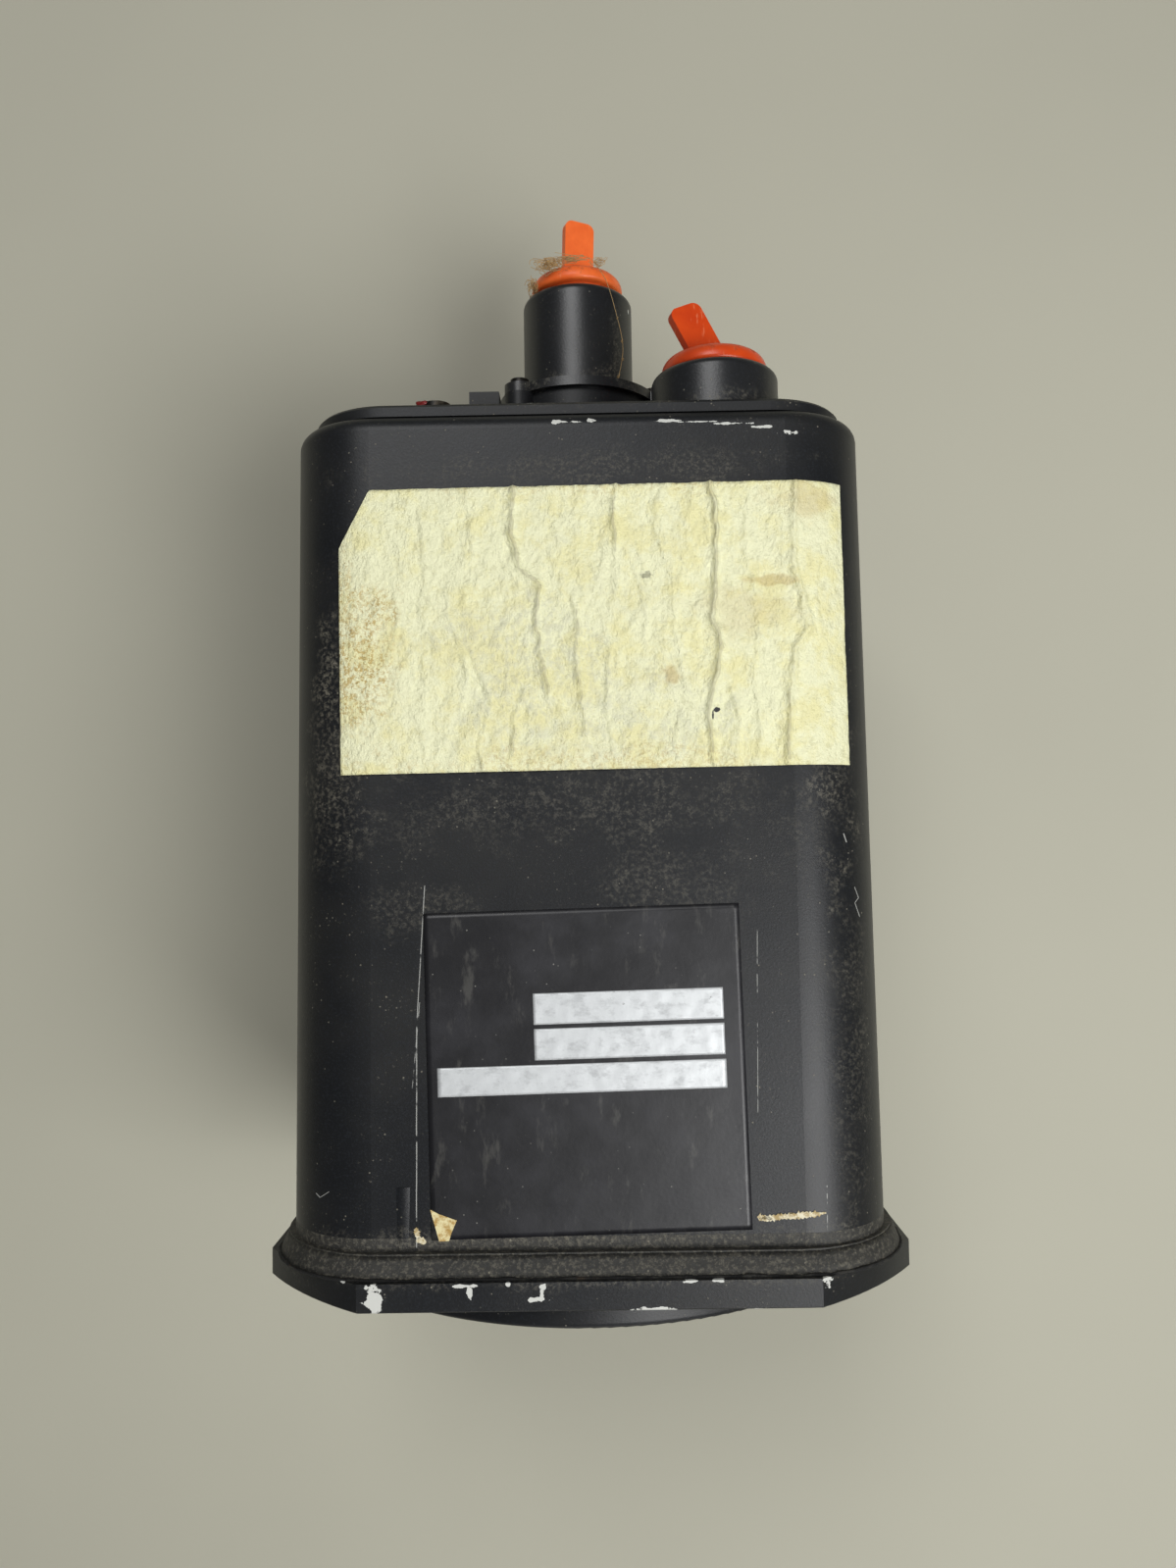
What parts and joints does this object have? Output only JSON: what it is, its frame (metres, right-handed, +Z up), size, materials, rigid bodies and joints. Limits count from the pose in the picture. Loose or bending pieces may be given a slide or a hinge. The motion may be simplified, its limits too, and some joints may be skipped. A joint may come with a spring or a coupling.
{
  "type": "attitude indicator",
  "caption": "Panel-mounted vacuum-driven attitude indicator: square case, round dial window, horizon drum on gyro gimbals, pitch knob, and two capped rear air ports.",
  "frame": {"origin": "centre of the flange front face, which lies on the instrument panel, on the roll axis", "axes": "+Y along the roll axis from the dial to the rear ports, +Z up, to the side that carries the labels, +X to the right seen from the top with the ports away"},
  "size_m": [0.0826, 0.1676, 0.0826],
  "materials": {
    "case_paint": "satin, lightly textured",
    "bezel_paint": "satin",
    "port_paint": "satin",
    "plug_plastic": "moulded",
    "seal_rubber": "matte",
    "cover_glass": "polished",
    "steel": "fine turned",
    "black_steel": "black oxide",
    "aluminium": "machined",
    "brass": "turned",
    "sintered_bronze": "porous",
    "dial_paint": "matte",
    "symbol_paint": "matte",
    "drum_paint": "matte",
    "knob_plastic": "moulded"
  },
  "bodies": {
    "case": {"front_bezel": "bezel_paint", "bezel_seal": "seal_rubber", "bezel_screws": "black_steel", "glass": "cover_glass", "glass_gasket": "seal_rubber", "glass_snap_ring": "black_steel", "dial_mask": "dial_paint", "dial_mask_screws": "black_steel", "knob_bushing": "brass", "knob_bushing_nut": "brass", "airplane_guide": "aluminium", "case_shell": "case_paint", "rear_cover": "case_paint", "rear_cover_gasket": "seal_rubber", "rear_cover_screws": "black_steel", "rear_bearing_housing": "aluminium", "bearing_housing_screws": "steel", "inlet_port": "port_paint", "inlet_port_screws": "black_steel", "inlet_filter": "sintered_bronze", "filter_retainer": "steel", "vacuum_port": "port_paint", "roll_bearing_outer_races": "steel"},
    "roll_gimbal": {"roll_fork": "aluminium", "roll_trunnion": "steel", "trunnion_screws": "steel", "roll_bearing_inner_races": "steel", "roll_bearing_balls": "steel", "roll_bearing_spacer": "brass", "trunnion_nut": "steel", "roll_ring": "dial_paint", "roll_ring_screws": "black_steel", "roll_balance_weights": "brass", "pitch_bushings": "brass"},
    "pitch_gimbal": {"horizon_drum": "drum_paint", "drum_end_discs": "dial_paint", "pitch_trunnions": "steel", "rotor_housing": "aluminium", "housing_top_cap": "aluminium", "housing_bottom_cap": "aluminium", "cap_screws": "steel", "spin_bearings": "steel", "pitch_balance_weight": "brass", "vane_body": "aluminium"},
    "rotor": {"rotor_wheel": "brass", "rotor_shaft": "steel"},
    "upper_vane_pair": {"upper_vanes": "aluminium"},
    "lower_vane_pair": {"lower_vanes": "aluminium"},
    "knob": {"adjuster_knob": "knob_plastic", "adjuster_shaft": "steel", "knob_set_screw": "black_steel"},
    "airplane": {"airplane_symbol": "symbol_paint", "airplane_rack": "brass"},
    "inlet_cap": {"inlet_plug": "plug_plastic"},
    "vacuum_cap": {"vacuum_plug": "plug_plastic"}
  },
  "joints": [
    {"name": "roll", "type": "hinge", "parent": "case", "child": "roll_gimbal", "pos_m": [0, 0.1, 0], "axis": [0, 1, 0], "continuous": true},
    {"name": "pitch", "type": "hinge", "parent": "roll_gimbal", "child": "pitch_gimbal", "pos_m": [0, 0.04, 0], "axis": [1, 0, 0], "range_deg": [-85, 85]},
    {"name": "rotor_spin", "type": "hinge", "parent": "pitch_gimbal", "child": "rotor", "pos_m": [0, 0.04, 0], "axis": [0, 0, 1], "continuous": true},
    {"name": "upper_vane_swing", "type": "hinge", "parent": "pitch_gimbal", "child": "upper_vane_pair", "pos_m": [0, 0.04, -0.0219], "axis": [1, 0, 0], "range_deg": [-20, 20]},
    {"name": "lower_vane_swing", "type": "hinge", "parent": "pitch_gimbal", "child": "lower_vane_pair", "pos_m": [0, 0.04, -0.0245], "axis": [0, 1, 0], "range_deg": [-20, 20]},
    {"name": "knob_turn", "type": "hinge", "parent": "case", "child": "knob", "pos_m": [0, -0.008, -0.0295], "axis": [0, 1, 0], "range_deg": [-77, 77]},
    {"name": "symbol_slide", "type": "slide", "parent": "case", "child": "airplane", "axis": [0, 0, 1], "range_m": [-0.002, 0.002]},
    {"name": "inlet_cap_pull", "type": "slide", "parent": "case", "child": "inlet_cap", "axis": [0, 1, 0], "range_m": [0, 0.04]},
    {"name": "vacuum_cap_pull", "type": "slide", "parent": "case", "child": "vacuum_cap", "axis": [0, 1, 0], "range_m": [0, 0.04]}
  ],
  "couplings": [
    {"joint": "knob_turn", "follows": "symbol_slide", "rad_per_m": 666.67}
  ]
}
